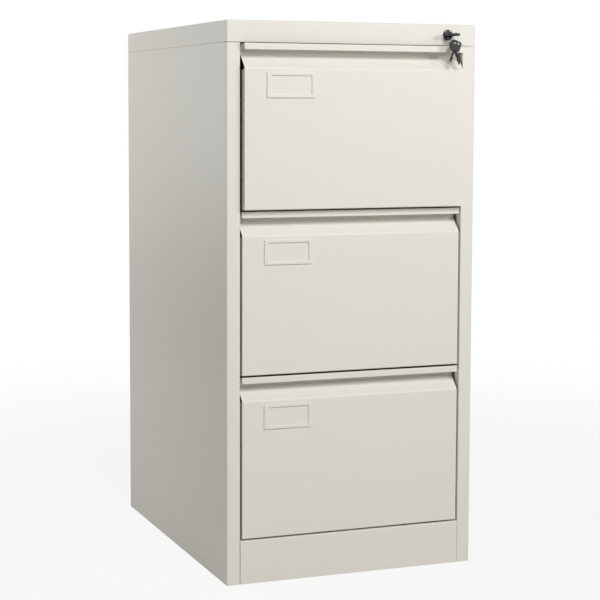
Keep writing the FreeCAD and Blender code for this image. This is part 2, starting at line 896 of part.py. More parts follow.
def write_nodes():
    os.makedirs("parts", exist_ok=True)
    for item in nodes:
        item.Shape.exportStep(f"parts/{item.Label}.step")
        print(item.Label, len(item.Shape.Solids), round(item.Shape.Volume, 1))


fill_sheet()
carcass()
for drawer_number in DRAWERS:
    drawer(drawer_number)
lock()
doc.recompute()
check_document()
write_nodes()
print("nodes", len(nodes))
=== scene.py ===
import json
import math

import bmesh
import bpy
from bpy.props import FloatProperty, FloatVectorProperty, IntProperty, PointerProperty
from mathutils import Matrix, Vector


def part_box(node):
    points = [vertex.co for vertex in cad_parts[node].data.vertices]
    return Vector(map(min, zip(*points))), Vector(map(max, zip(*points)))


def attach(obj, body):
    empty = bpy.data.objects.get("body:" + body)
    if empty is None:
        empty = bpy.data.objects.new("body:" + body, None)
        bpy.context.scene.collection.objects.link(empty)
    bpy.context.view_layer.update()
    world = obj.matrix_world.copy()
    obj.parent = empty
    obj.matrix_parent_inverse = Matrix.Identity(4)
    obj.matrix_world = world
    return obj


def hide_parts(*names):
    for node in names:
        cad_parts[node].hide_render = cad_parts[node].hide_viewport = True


bl_info = {
    "name": "Steel Filing Cabinet",
    "version": (1, 0, 0),
    "blender": (4, 5, 0),
    "location": "View3D > Sidebar > Cabinet",
    "description": "Rounds off, paints and lights the pieces of a three-drawer steel filing cabinet",
    "category": "Object",
}

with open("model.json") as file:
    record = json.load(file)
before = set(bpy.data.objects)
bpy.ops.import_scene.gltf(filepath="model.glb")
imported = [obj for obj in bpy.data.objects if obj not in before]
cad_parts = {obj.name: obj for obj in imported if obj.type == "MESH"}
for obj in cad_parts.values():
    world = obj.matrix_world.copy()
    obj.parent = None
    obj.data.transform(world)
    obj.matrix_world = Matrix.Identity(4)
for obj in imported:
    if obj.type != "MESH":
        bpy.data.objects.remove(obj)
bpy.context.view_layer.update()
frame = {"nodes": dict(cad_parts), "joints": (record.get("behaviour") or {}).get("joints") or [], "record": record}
joints = {joint["name"]: joint for joint in frame["joints"]}

MM = 0.001
DRAWERS = (1, 2, 3)
SIDES = {"left": -1, "right": 1}
# spare key: tilt, half the grip's width, share of the full grip's height, blade length, hang off the middle
SPARE_KEYS = {
    1: (math.radians(18.5), 10.6 * MM, 1.0, 21 * MM, 0.0),
    2: (math.radians(-18.0), 8.2 * MM, 0.9, 26 * MM, 0.9),
}
# light: place, target, size, which power it takes and its share of it
LIGHTS = {
    "front_light": ((-0.2, -3.0, 2.8), (0.0, 0.0, 0.8), 1.2, "front_power", 1.0),
    "right_light": ((1.75, -2.7, 1.6), (0.0, 0.0, 0.9), 0.6, "right_power", 1.0),
    "side_light": ((-1.3, 1.3, 1.9), (-0.24, 0.2, 0.8), 0.8, "side_power", 1.0),
    "wide_light": ((-2.4, 1.2, 1.4), (-0.24, 0.1, 0.8), 1.2, "side_power", 0.85),
    "low_light": ((-1.5, 1.8, 0.9), (-0.24, 0.3, 0.6), 0.8, "side_power", 0.7),
}
WHITE = (1.0, 1.0, 1.0, 1.0)
PLANES = {"X": (1, 2, 0), "Y": (0, 2, 1), "Z": (0, 1, 2)}


# ---- what a user would change ----
def length(name, description, default, low=0.0):
    return FloatProperty(name=name, description=description, default=default * MM, min=low,
                         subtype="DISTANCE", unit="LENGTH")


def colour(name, description, default):
    return FloatVectorProperty(name=name, description=description, default=default, size=4,
                               min=0.0, max=1.0, subtype="COLOR")


def share(name, description, default):
    return FloatProperty(name=name, description=description, default=default, min=0.0, max=1.0,
                         subtype="FACTOR")


class SheetSizes(bpy.types.PropertyGroup):
    steel: length("Sheet", "Thickness of the painted sheet", 1.0)
    bend: length("Bend Radius", "Outside radius of an ordinary fold", 2.0)
    edge_break: length("Edge Break", "Rounding that the paint gives a cut edge", 0.3)
    lid_bend: length("Lid Radius", "Outside radius of the edges of the top cover", 2.6)
    lid_return: length("Lid Return", "Depth of the fold under the front of the top cover", 12.0)
    post_width: length("Post Width", "Width of a front post", 25.0)
    post_depth: length("Post Depth", "Depth of a front post", 20.0)
    post_return: length("Post Return", "Width of the fold at the back of a post", 9.0)
    rear_flange: length("Rear Flange", "Width of the fold at the back of a side panel", 20.0)
    foot: length("Foot", "Width of the fold along the floor", 20.0)
    tongue_drop: length("Tongue Drop", "How far the joining strip reaches down inside a side panel", 8.8)
    tongue_rise: length("Tongue Rise", "How far the joining strip reaches up inside the top cover", 14.0)
    plinth_hem: length("Plinth Hem", "Height of the fold behind the plinth", 10.3)


class FrontSizes(bpy.types.PropertyGroup):
    lip: length("Lip", "Height of the lip over the grip", 11.5)
    hem: length("Hem", "Thickness of the folded edge of the lip", 2.0)
    recess: length("Recess", "Depth of the grip", 23.0)
    upper: length("Upper Bend", "Drop from the top edge to the back of the slanted part", 19.5)
    lower: length("Lower Bend", "Drop from the top edge to the front of the slanted part", 43.0)
    fold: length("Fold", "Depth of the folds at the foot and at the sides", 16.0)
    slope_bend: length("Slope Radius", "Radius of the two bends of the slanted part", 7.0)


class CardFrameSizes(bpy.types.PropertyGroup):
    left_rim: length("Left Rim", "Width of the left rim", 8.1)
    rim: length("Rim", "Width of the other rims", 6.1)
    corner: length("Corner", "Radius of the outer corners", 1.6)


class LockSizes(bpy.types.PropertyGroup):
    head: length("Head", "Length of the lock's head in front of the panel", 4.2)
    sleeve: length("Sleeve", "Diameter of the threaded sleeve", 16.0)
    bore: length("Bore", "Diameter of the bore for the barrel", 12.12)
    thread: length("Thread", "Depth of the sleeve's thread", 0.45)
    thread_pitch: length("Thread Pitch", "Distance from one thread to the next", 1.5)


class KeySizes(bpy.types.PropertyGroup):
    corner: length("Corner", "Radius of the corners of a key's grip", 4.6)
    slot_length: length("Slot Length", "Length of the slot of a spare key", 13.0)
    slot_height: length("Slot Height", "Height of the slot of a spare key", 4.0)
    bridge: length("Bridge", "Width of the grip over the slot", 2.4)
    grip_height: length("Grip Height", "Height of the grip of a spare key", 19.0)
    grip_thick: length("Grip Thickness", "Thickness of the grip of a spare key", 3.6)
    blade_width: length("Blade Width", "Width of the blade of a spare key", 4.8)
    blade_thick: length("Blade Thickness", "Thickness of the blade of a spare key", 1.8)
    key_blade_width: length("Fitted Blade Width", "Width of the blade in the lock", 8.4)
    key_blade_thick: length("Fitted Blade Thickness", "Thickness of the blade in the lock", 2.0)
    neck: length("Neck", "Bare blade between the lock and the grip", 5.0)
    wire: length("Ring Wire", "Diameter of the wire of the split ring", 0.6)
    cuts: IntProperty(name="Cuts", description="Cuts along a blade", default=4, min=1, max=9)


class Finishes(bpy.types.PropertyGroup):
    paint: colour("Paint", "Powder coat outside", (0.80, 0.772, 0.708, 1.0))
    inner: colour("Inner Paint", "Powder coat on the inner parts", (0.66, 0.64, 0.61, 1.0))
    zinc: colour("Zinc", "Zinc plating of the slides", (0.60, 0.61, 0.62, 1.0))
    ball: colour("Ball Steel", "Hardened steel of the balls and their cages", (0.45, 0.46, 0.48, 1.0))
    lock: colour("Lock", "Dark plated lock", (0.10, 0.10, 0.10, 1.0))
    grip: colour("Key Grip", "Moulded grips of the keys", (0.012, 0.012, 0.013, 1.0))
    blade: colour("Key Blade", "Nickel silver of the blades", (0.42, 0.40, 0.37, 1.0))
    nylon: colour("Nylon", "Guides of the lock bar", (0.03, 0.03, 0.032, 1.0))
    floor: colour("Floor", "Studio floor", (0.55, 0.54, 0.52, 1.0))
    gloss: share("Roughness", "Roughness of the outside paint", 0.42)


class StageSizes(bpy.types.PropertyGroup):
    eye: FloatVectorProperty(name="Camera", description="Where the camera stands", size=3,
                             default=(-1.1744, -3.0756, 0.85), subtype="TRANSLATION", unit="LENGTH")
    turn: FloatProperty(name="Turn", description="Turn of the camera to the right",
                        default=math.radians(21.255), subtype="ANGLE", unit="ROTATION")
    dip: FloatProperty(name="Dip", description="Tilt of the camera below the horizon",
                       default=math.radians(5.24), subtype="ANGLE", unit="ROTATION")
    roll: FloatProperty(name="Roll", description="Roll of the camera about its line of sight",
                        default=math.radians(0.2), subtype="ANGLE", unit="ROTATION")
    lens: FloatProperty(name="Lens", description="Focal length in millimetres", default=100.17, min=10.0)
    rise: FloatProperty(name="Rise", description="Vertical shift of the camera", default=-0.0667)
    front_power: FloatProperty(name="Front Light", description="Power of the high light in front",
                               default=78.0)
    right_power: FloatProperty(name="Right Light", description="Power of the light at the right",
                               default=25.0)
    side_power: FloatProperty(name="Side Light", description="Power of the lights at the left side",
                              default=11.5)
    ambient: FloatProperty(name="Ambient", description="Strength of the light from all round", default=0.12)
    clear: FloatVectorProperty(name="Floor Fade", size=2, default=(0.7, 2.6), min=0.0,
                               description="Where the floor starts and ends its fade to white",
                               subtype="NONE", unit="LENGTH")


SETTINGS = {
    "cabinet_sheet": SheetSizes,
    "cabinet_front": FrontSizes,
    "cabinet_card": CardFrameSizes,
    "cabinet_lock": LockSizes,
    "cabinet_key": KeySizes,
    "cabinet_finish": Finishes,
    "cabinet_stage": StageSizes,
}


# ---- outlines ----
def rounded(points, radii):
    """An open path with an arc of the given radius at each corner."""
    points = [Vector(point) for point in points]
    path = [points[0]]
    for before, corner, after, radius in zip(points, points[1:], points[2:], radii):
        arrive = (corner - before).normalized()
        leave = (after - corner).normalized()
        turn = math.acos(max(-1.0, min(1.0, arrive.dot(leave))))
        if radius <= 0 or turn < 1e-4:
            path.append(corner)
            continue
        reach = radius * math.tan(turn / 2)
        steps = max(3, math.ceil(math.degrees(turn) / 11))
        start = corner - arrive * reach
        left = 1 if arrive.x * leave.y - arrive.y * leave.x > 0 else -1
        middle = start + Vector((-arrive.y, arrive.x)) * left * radius
        for step in range(steps + 1):
            angle = left * turn * step / steps
            arm = start - middle
            path.append(middle + Matrix.Rotation(angle, 2) @ arm)
    path.append(points[-1])
    return path


def folded(path, steel):
    """The closed outline of a sheet that lies to the right of its outside path."""
    inside = []
    for index, point in enumerate(path):
        before = path[max(index - 1, 0)]
        after = path[min(index + 1, len(path) - 1)]
        arrive = (point - before).normalized() if index else (after - point).normalized()
        leave = (after - point).normalized() if index < len(path) - 1 else arrive
        tangent = (arrive + leave).normalized()
        stretch = 1 / max(0.3, tangent.dot(arrive))
        inside.append(point + Vector((tangent.y, -tangent.x)) * steel * stretch)
    return list(path) + inside[::-1]


def rounded_rectangle(low, high, radius, steps=5):
    corners = ((high[0], high[1], 0), (low[0], high[1], 90), (low[0], low[1], 180), (high[0], low[1], 270))
    outline = []
    for x, y, first in corners:
        centre = Vector((x - radius if first in (0, 270) else x + radius,
                         y - radius if first in (0, 90) else y + radius))
        for step in range(steps + 1):
            angle = math.radians(first + 90 * step / steps)
            outline.append(centre + Vector((math.cos(angle), math.sin(angle))) * radius)
    return outline


# ---- meshes ----
def placed(axis, flat, along):
    """A point of an outline's plane, set at a place along the axis that the plane faces."""
    first, second, third = PLANES[axis]
    spot = [0.0, 0.0, 0.0]
    spot[first], spot[second], spot[third] = flat[0], flat[1], along
    return spot


def add_loops(bm, loops, capped=True, closed=False):
    """Quads between loops of equal length; the ends are capped or joined."""
    rings = [[bm.verts.new(spot) for spot in loop] for loop in loops]
    pairs = list(zip(rings, rings[1:]))
    if closed:
        pairs.append((rings[-1], rings[0]))
    for here, there in pairs:
        for index in range(len(here)):
            after = (index + 1) % len(here)
            bm.faces.new((here[index], here[after], there[after], there[index]))
    if capped and not closed:
        bm.faces.new(rings[0][::-1])
        bm.faces.new(rings[-1])
    return rings


def add_extrusion(bm, outline, axis, start, end):
    add_loops(bm, [[placed(axis, flat, along) for flat in outline] for along in (start, end)])


def add_box(bm, low, high):
    outline = [(low[0], low[1]), (high[0], low[1]), (high[0], high[1]), (low[0], high[1])]
    add_extrusion(bm, outline, "Z", low[2], high[2])


def add_turned(bm, profile, centre, steps=48):
    """Turns (distance along Y, radius) pairs round an axis along Y through the centre."""
    loops = []
    for along, radius in profile:
        ring = []
        for step in range(steps):
            angle = 2 * math.pi * step / steps
            ring.append((centre[0] + radius * math.cos(angle), along, centre[1] + radius * math.sin(angle)))
        loops.append(ring)
    add_loops(bm, loops, closed=True)


def add_wire(bm, spots, radius, sides=10):
    """A round wire along points, with rounded-off ends."""
    loops = []
    for index, spot in enumerate(spots):
        before = spots[max(index - 1, 0)]
        after = spots[min(index + 1, len(spots) - 1)]
        tangent = (after - before).normalized()
        across = tangent.cross(Vector((1, 0, 0))).normalized()
        up = tangent.cross(across)
        size = radius * (0.6 if index in (0, len(spots) - 1) else 1.0)
        loops.append([spot + (across * math.cos(angle) + up * math.sin(angle)) * size
                      for angle in (2 * math.pi * side / sides for side in range(sides))])
    add_loops(bm, loops)


def make_object(bm, name):
    bmesh.ops.recalc_face_normals(bm, faces=bm.faces)
    mesh = bpy.data.meshes.new(name)
    bm.to_mesh(mesh)
    bm.free()
    mesh.shade_smooth()
    piece = bpy.data.objects.new(name, mesh)
    bpy.context.scene.collection.objects.link(piece)
    return piece


def settle(piece):
    """Makes what the modifiers show the piece's own mesh."""
    graph = bpy.context.evaluated_depsgraph_get()
    mesh = bpy.data.meshes.new_from_object(piece.evaluated_get(graph))
    piece.modifiers.clear()
    piece.data = mesh


def cut_away(piece, bm):
    cutter = make_object(bm, piece.name + "_cutter")
    boolean = piece.modifiers.new("Cut", "BOOLEAN")
    boolean.operation = "DIFFERENCE"
    boolean.solver = "EXACT"
    boolean.object = cutter
    settle(piece)
    bpy.data.objects.remove(cutter)


def break_edges(piece, width, segments=2):
    """A small bevel on the sharp edges, with the flats kept flat in the shading."""
    bevel = piece.modifiers.new("Edge Break", "BEVEL")
    bevel.width = width
    bevel.segments = segments
    bevel.limit_method = "ANGLE"
    bevel.angle_limit = math.radians(38)
    bevel.use_clamp_overlap = True
    normals = piece.modifiers.new("Flat Faces", "WEIGHTED_NORMAL")
    normals.keep_sharp = True
    normals.weight = 80
    settle(piece)


def hand_over(piece, body, slot, materials, *nodes):
    """Gives a finished piece its materials and its body, and hides the nodes it stands for; the slot is not used.
    """
    piece.data.materials.clear()
    for material in materials:
        piece.data.materials.append(material)
    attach(piece, body)
    if nodes:
        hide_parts(*nodes)
    return piece


# ---- shader groups ----
def new_group(name, inputs, outputs):
    """An empty shader group with named sockets: name -> (type, default)."""
    group = bpy.data.node_groups.new(name, "ShaderNodeTree")
    for label, (kind, default) in inputs.items():
        socket = group.interface.new_socket(label, in_out="INPUT", socket_type=kind)
        socket.default_value = default
    for label, kind in outputs.items():
        group.interface.new_socket(label, in_out="OUTPUT", socket_type=kind)
    return group, group.nodes.new("NodeGroupInput"), group.nodes.new("NodeGroupOutput")


def add_node(tree, kind, **settings):
    node = tree.nodes.new(kind)
    for label, value in settings.items():
        setattr(node, label, value)
    return node


def noise(tree, vector, scale, detail=2.0, roughness=0.5):
    node = add_node(tree, "ShaderNodeTexNoise")
    node.inputs["Scale"].default_value = scale
    node.inputs["Detail"].default_value = detail
    node.inputs["Roughness"].default_value = roughness
    tree.links.new(vector, node.inputs["Vector"])
    return node.outputs["Fac"]


def maths(tree, operation, first, second, third=None):
    node = add_node(tree, "ShaderNodeMath", operation=operation)
    for socket, value in zip(node.inputs, (first, second, third)):
        if value is None:
            continue
        if isinstance(value, (int, float)):
            socket.default_value = value
        else:
            tree.links.new(value, socket)
    return node.outputs[0]


def tinted(tree, paint, factor):
    """The paint made lighter or darker by a factor about one."""
    node = add_node(tree, "ShaderNodeHueSaturation")
    tree.links.new(paint, node.inputs["Color"])
    tree.links.new(factor, node.inputs["Value"])
    return node.outputs["Color"]


def powder_grain():
    """Orange peel, soft cloudiness and a fine speckle of a baked powder coat."""
    group, start, end = new_group(
        "Powder Grain",
        {"Colour": ("NodeSocketColor", (0.8, 0.8, 0.8, 1.0)), "Cloudiness": ("NodeSocketFloat", 0.02),
         "Roughness": ("NodeSocketFloat", 0.4), "Peel": ("NodeSocketFloat", 1.0)},
        {"Colour": "NodeSocketColor", "Roughness": "NodeSocketFloat", "Height": "NodeSocketFloat"})
    place = add_node(group, "ShaderNodeTexCoord").outputs["Object"]
    clouds = noise(group, place, 5.0, 3.0)
    speckle = noise(group, place, 1600.0, 1.0)
    peel = noise(group, place, 520.0, 2.0, 0.45)
    cloud_shift = maths(group, "MULTIPLY", maths(group, "SUBTRACT", clouds, 0.5), start.outputs["Cloudiness"])
    speck_shift = maths(group, "MULTIPLY", maths(group, "SUBTRACT", speckle, 0.5), 0.03)
    tone = maths(group, "ADD", maths(group, "ADD", cloud_shift, speck_shift), 1.0)
    group.links.new(tinted(group, start.outputs["Colour"], tone), end.inputs["Colour"])
    rough = maths(group, "MULTIPLY_ADD", clouds, 0.10, start.outputs["Roughness"])
    group.links.new(maths(group, "SUBTRACT", rough, 0.05), end.inputs["Roughness"])
    group.links.new(maths(group, "MULTIPLY", peel, start.outputs["Peel"]), end.inputs["Height"])
    return group


def drawn_grain():
    """Fine lines along Y, patches of wear and their shine, for rolled and plated metal."""
    group, start, end = new_group(
        "Drawn Grain",
        {"Colour": ("NodeSocketColor", (0.6, 0.6, 0.6, 1.0)), "Spread": ("NodeSocketFloat", 0.2),
         "Roughness": ("NodeSocketFloat", 0.3), "Fineness": ("NodeSocketFloat", 900.0)},
        {"Colour": "NodeSocketColor", "Roughness": "NodeSocketFloat", "Height": "NodeSocketFloat"})
    place = add_node(group, "ShaderNodeTexCoord").outputs["Object"]
    stretch = add_node(group, "ShaderNodeVectorMath", operation="MULTIPLY")
    stretch.inputs[1].default_value = (1.0, 0.04, 1.0)
    group.links.new(place, stretch.inputs[0])
    lines = add_node(group, "ShaderNodeTexNoise")
    lines.inputs["Detail"].default_value = 2.0
    group.links.new(stretch.outputs[0], lines.inputs["Vector"])
    group.links.new(start.outputs["Fineness"], lines.inputs["Scale"])
    patches = noise(group, place, 40.0, 3.0)
    shift = maths(group, "MULTIPLY", maths(group, "SUBTRACT", patches, 0.5), start.outputs["Spread"])
    line_shift = maths(group, "MULTIPLY", maths(group, "SUBTRACT", lines.outputs["Fac"], 0.5), 0.15)
    tone = maths(group, "ADD", maths(group, "ADD", shift, line_shift), 1.0)
    group.links.new(tinted(group, start.outputs["Colour"], tone), end.inputs["Colour"])
    rough = maths(group, "MULTIPLY_ADD", patches, 0.16, start.outputs["Roughness"])
    group.links.new(maths(group, "SUBTRACT", rough, 0.08), end.inputs["Roughness"])
    group.links.new(lines.outputs["Fac"], end.inputs["Height"])
    return group


def dust_film():
    """A thin film of dust on faces that look up."""
    group, start, end = new_group(
        "Dust Film",
        {"Colour": ("NodeSocketColor", (0.8, 0.8, 0.8, 1.0)),
         "Dust Colour": ("NodeSocketColor", (0.7, 0.68, 0.65, 1.0)),
         "Amount": ("NodeSocketFloat", 0.1), "Roughness": ("NodeSocketFloat", 0.4)},
        {"Colour": "NodeSocketColor", "Roughness": "NodeSocketFloat"})
    place = add_node(group, "ShaderNodeTexCoord")
    split = add_node(group, "ShaderNodeSeparateXYZ")
    group.links.new(add_node(group, "ShaderNodeNewGeometry").outputs["Normal"], split.inputs[0])
    upward = add_node(group, "ShaderNodeClamp")
    group.links.new(split.outputs["Z"], upward.inputs["Value"])
    patches = noise(group, place.outputs["Object"], 30.0, 4.0, 0.6)
    patchy = maths(group, "MULTIPLY", patches, start.outputs["Amount"])
    film = maths(group, "MULTIPLY", upward.outputs[0], patchy)
    mix = add_node(group, "ShaderNodeMix", data_type="RGBA")
    group.links.new(film, mix.inputs["Factor"])
    group.links.new(start.outputs["Colour"], mix.inputs[6])
    group.links.new(start.outputs["Dust Colour"], mix.inputs[7])
    group.links.new(mix.outputs[2], end.inputs["Colour"])
    rough = maths(group, "MULTIPLY_ADD", film, 0.5, start.outputs["Roughness"])
    group.links.new(rough, end.inputs["Roughness"])
    return group


GROUP_MAKERS = {"Powder Grain": powder_grain, "Drawn Grain": drawn_grain, "Dust Film": dust_film}


def shared_group(name):
    return bpy.data.node_groups.get(name) or GROUP_MAKERS[name]()


# ---- materials ----
def new_material(name):
    material = bpy.data.materials.new(name)
    material.use_nodes = True
    return material, material.node_tree, material.node_tree.nodes["Principled BSDF"]


def place_group(tree, name, **values):
    node = add_node(tree, "ShaderNodeGroup", node_tree=shared_group(name))
    for label, value in values.items():
        node.inputs[label.replace("_", " ")].default_value = value
    return node


def bump(tree, shader, height, depth, strength):
    node = add_node(tree, "ShaderNodeBump")
    node.inputs["Distance"].default_value = depth
    node.inputs["Strength"].default_value = strength
    tree.links.new(height, node.inputs["Height"])
    tree.links.new(node.outputs["Normal"], shader.inputs["Normal"])


def powder_coat(name, paint, roughness, cloudiness, dust):
    material, tree, shader = new_material(name)
    grain = place_group(tree, "Powder Grain", Colour=paint, Cloudiness=cloudiness, Roughness=roughness)
    film = place_group(tree, "Dust Film", Amount=dust)
    tree.links.new(grain.outputs["Colour"], film.inputs["Colour"])
    tree.links.new(grain.outputs["Roughness"], film.inputs["Roughness"])
    tree.links.new(film.outputs["Colour"], shader.inputs["Base Color"])
    tree.links.new(film.outputs["Roughness"], shader.inputs["Roughness"])
    bump(tree, shader, grain.outputs["Height"], 0.00006, 0.35)
    shader.inputs["IOR"].default_value = 1.5
    return material


def plated_metal(name, metal, roughness, spread, fineness):
    material, tree, shader = new_material(name)
    grain = place_group(tree, "Drawn Grain", Colour=metal, Spread=spread, Roughness=roughness,
                        Fineness=fineness)
    shader.inputs["Metallic"].default_value = 1.0
    tree.links.new(grain.outputs["Colour"], shader.inputs["Base Color"])
    tree.links.new(grain.outputs["Roughness"], shader.inputs["Roughness"])
    bump(tree, shader, grain.outputs["Height"], 0.00003, 0.25)
    return material


def moulded_plastic(name, plastic, roughness):
    material, tree, shader = new_material(name)
    grain = place_group(tree, "Powder Grain", Colour=plastic, Cloudiness=0.2, Roughness=roughness, Peel=0.6)
    tree.links.new(grain.outputs["Colour"], shader.inputs["Base Color"])
    tree.links.new(grain.outputs["Roughness"], shader.inputs["Roughness"])
    bump(tree, shader, grain.outputs["Height"], 0.00005, 0.3)
    return material


MATERIAL_MAKERS = {
    "outside_paint": lambda f: powder_coat("outside_paint", f.paint, f.gloss, 0.02, 0.12),
    "inside_paint": lambda f: powder_coat("inside_paint", f.inner, f.gloss + 0.1, 0.05, 0.25),
    "slide_zinc": lambda f: plated_metal("slide_zinc", f.zinc, 0.32, 0.25, 700.0),
    "ball_steel": lambda f: plated_metal("ball_steel", f.ball, 0.22, 0.15, 1500.0),
    "lock_plating": lambda f: plated_metal("lock_plating", f.lock, 0.16, 0.2, 1800.0),
    "blade_nickel": lambda f: plated_metal("blade_nickel", f.blade, 0.28, 0.3, 2400.0),
    "bright_wire": lambda f: plated_metal("bright_wire", f.zinc, 0.18, 0.1, 2000.0),
    "grip_plastic": lambda f: moulded_plastic("grip_plastic", f.grip, 0.38),
    "guide_nylon": lambda f: moulded_plastic("guide_nylon", f.nylon, 0.5),
}


def shared_material(name):
    return bpy.data.materials.get(name) or MATERIAL_MAKERS[name](bpy.context.scene.cabinet_finish)


# ---- carcass ----
class CABINET_OT_top_cover(bpy.types.Operator):
    """Folds the lid-like top cover with its rounded edges"""
    bl_idname = "cabinet.top_cover"
    bl_label = "Top Cover"

    def execute(self, context):
        sheet = context.scene.cabinet_sheet
        low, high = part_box("top_cover")
        bm = bmesh.new()
        add_box(bm, low, high)
        open_face = min(bm.faces, key=lambda face: face.calc_center_median().z)
        bmesh.ops.delete(bm, geom=[open_face], context="FACES_ONLY")
        folds = [edge for edge in bm.edges if not edge.is_boundary]
        bmesh.ops.bevel(bm, geom=folds, offset=sheet.lid_bend, segments=5, profile=0.5, affect="EDGES")
        piece = make_object(bm, "top_cover_shell")
        wall = piece.modifiers.new("Sheet", "SOLIDIFY")
        wall.thickness = sheet.steel
        wall.offset = -1
        wall.use_even_offset = True
        settle(piece)
        self.cut_lock_hole(context, piece, low)
        self.add_front_return(context, piece, low, high)
        break_edges(piece, sheet.edge_break)
        hand_over(piece, "cabinet", "cabinet_paint", [shared_material("outside_paint")], "top_cover")
        return {"FINISHED"}

    def cut_lock_hole(self, context, piece, low):
        lock = context.scene.cabinet_lock
        x, _, z = joints["lock_turn"]["pos_m"]
        radius = lock.sleeve / 2 + 0.2 * MM
        bm = bmesh.new()
        ring = [(x + radius * math.cos(angle), z + radius * math.sin(angle))
                for angle in (2 * math.pi * step / 48 for step in range(48))]
        add_extrusion(bm, ring, "Y", low.y - MM, low.y + 3 * MM)
        cut_away(piece, bm)

    def add_front_return(self, context, piece, low, high):
        sheet = context.scene.cabinet_sheet
        edge = high.x - sheet.post_width - 0.4 * MM
        bm = bmesh.new()
        bm.from_mesh(piece.data)
        add_box(bm, (-edge, low.y + sheet.steel, low.z),
                (edge, low.y + sheet.lid_return, low.z + sheet.steel))
        bm.to_mesh(piece.data)
        bm.free()


class CABINET_OT_side_panels(bpy.types.Operator):
    """Folds both side panels with their front posts, rear flanges, feet and joining strips"""
    bl_idname = "cabinet.side_panels"
    bl_label = "Side Panels"

    def execute(self, context):
        for word, side in SIDES.items():
            self.panel(context.scene.cabinet_sheet, word, side)
        return {"FINISHED"}

    def panel(self, sheet, word, side):
        node = f"{word}_side_panel"
        low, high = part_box(node)
        outer = low.x if side < 0 else high.x
        top = high.z - sheet.tongue_rise - 0.8 * MM

        def across(inset):
            return outer - side * inset

        post_end = low.y + sheet.post_depth
        path = [(across(sheet.post_width - sheet.post_return), post_end),
                (across(sheet.post_width), post_end), (across(sheet.post_width), low.y),
                (across(0), low.y), (across(0), high.y), (across(sheet.rear_flange), high.y)]
        outside = rounded(path, [sheet.bend] * 4)
        steel = sheet.steel if side > 0 else -sheet.steel
        bm = bmesh.new()
        add_extrusion(bm, folded(outside, -steel), "Z", low.z, top)
        self.strip(bm, sheet, across, (1, 2), (low.y + sheet.post_width, high.y - sheet.rear_flange),
                   (top - sheet.tongue_drop + 0.8 * MM, high.z))
        self.strip(bm, sheet, across, (1, 1 + sheet.foot / sheet.steel),
                   (low.y + sheet.post_width, high.y - sheet.rear_flange), (low.z, low.z + sheet.steel))
        piece = make_object(bm, f"{word}_side_shell")
        break_edges(piece, sheet.edge_break)
        hand_over(piece, "cabinet", "cabinet_paint", [shared_material("outside_paint")], node)

    def strip(self, bm, sheet, across, layers, depth, height):
        """A flat strip between two numbers of sheets inwards from the outside."""
        edges = sorted(across(layer * sheet.steel) for layer in layers)
        add_box(bm, (edges[0], depth[0], height[0]), (edges[1], depth[1], height[1]))


class CABINET_OT_plinth(bpy.types.Operator):
    """Folds the plinth panel between the posts"""
    bl_idname = "cabinet.plinth"
    bl_label = "Plinth"

    def execute(self, context):
        sheet = context.scene.cabinet_sheet
        low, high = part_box("plinth_panel")
        path = [(low.y, low.z), (low.y, high.z), (high.y, high.z), (high.y, high.z - sheet.plinth_hem)]
        bm = bmesh.new()
        add_extrusion(bm, folded(rounded(path, [sheet.bend] * 2), sheet.steel), "X", low.x, high.x)
        piece = make_object(bm, "plinth_shell")
        break_edges(piece, sheet.edge_break)
        hand_over(piece, "cabinet", "cabinet_paint", [shared_material("outside_paint")], "plinth_panel")
        return {"FINISHED"}


class CABINET_OT_back_screws(bpy.types.Operator):
    """Turns the domed screws of the back, each with a cross recess"""
    bl_idname = "cabinet.back_screws"
    bl_label = "Back Screws"

    def execute(self, context):
        low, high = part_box("rear_screws")
        radius = 3.5 * MM
        face = high.y
        under = face - 1.8 * MM
        shank = 1.6 * MM
        columns = (low.x + radius, high.x - radius)
        panel_rows = (0.1, 0.5, 0.9)
        lid_columns = (-180 * MM, 0.0, 180 * MM)
        lid_row = high.z - radius
        spots = [(x, z) for x in columns for z in panel_rows]
        spots += [(x, lid_row) for x in lid_columns]
        bm = bmesh.new()
        for spot in spots:
            profile = [(low.y, 0.2 * MM), (low.y, shank), (under, shank), (under, radius),
                       (under + 0.5 * MM, radius), (under + 1.2 * MM, radius * 0.86),
                       (face - 0.15 * MM, radius * 0.5), (face, 0.2 * MM)]
            add_turned(bm, profile, spot, 28)
        piece = make_object(bm, "back_screw_heads")
        recess = bmesh.new()
        arm, web = 1.9 * MM, 0.45 * MM
        cross = [(web, web), (arm, web), (arm, -web), (web, -web), (web, -arm), (-web, -arm), (-web, -web),
                 (-arm, -web), (-arm, web), (-web, web), (-web, arm), (web, arm)]
        for x, z in spots:
            add_extrusion(recess, [(x + across, z + along) for across, along in cross], "Y",
                          under + 0.7 * MM, face + MM)
        cut_away(piece, recess)
        hand_over(piece, "cabinet", "wire", [shared_material("bright_wire")], "rear_screws")
        return {"FINISHED"}


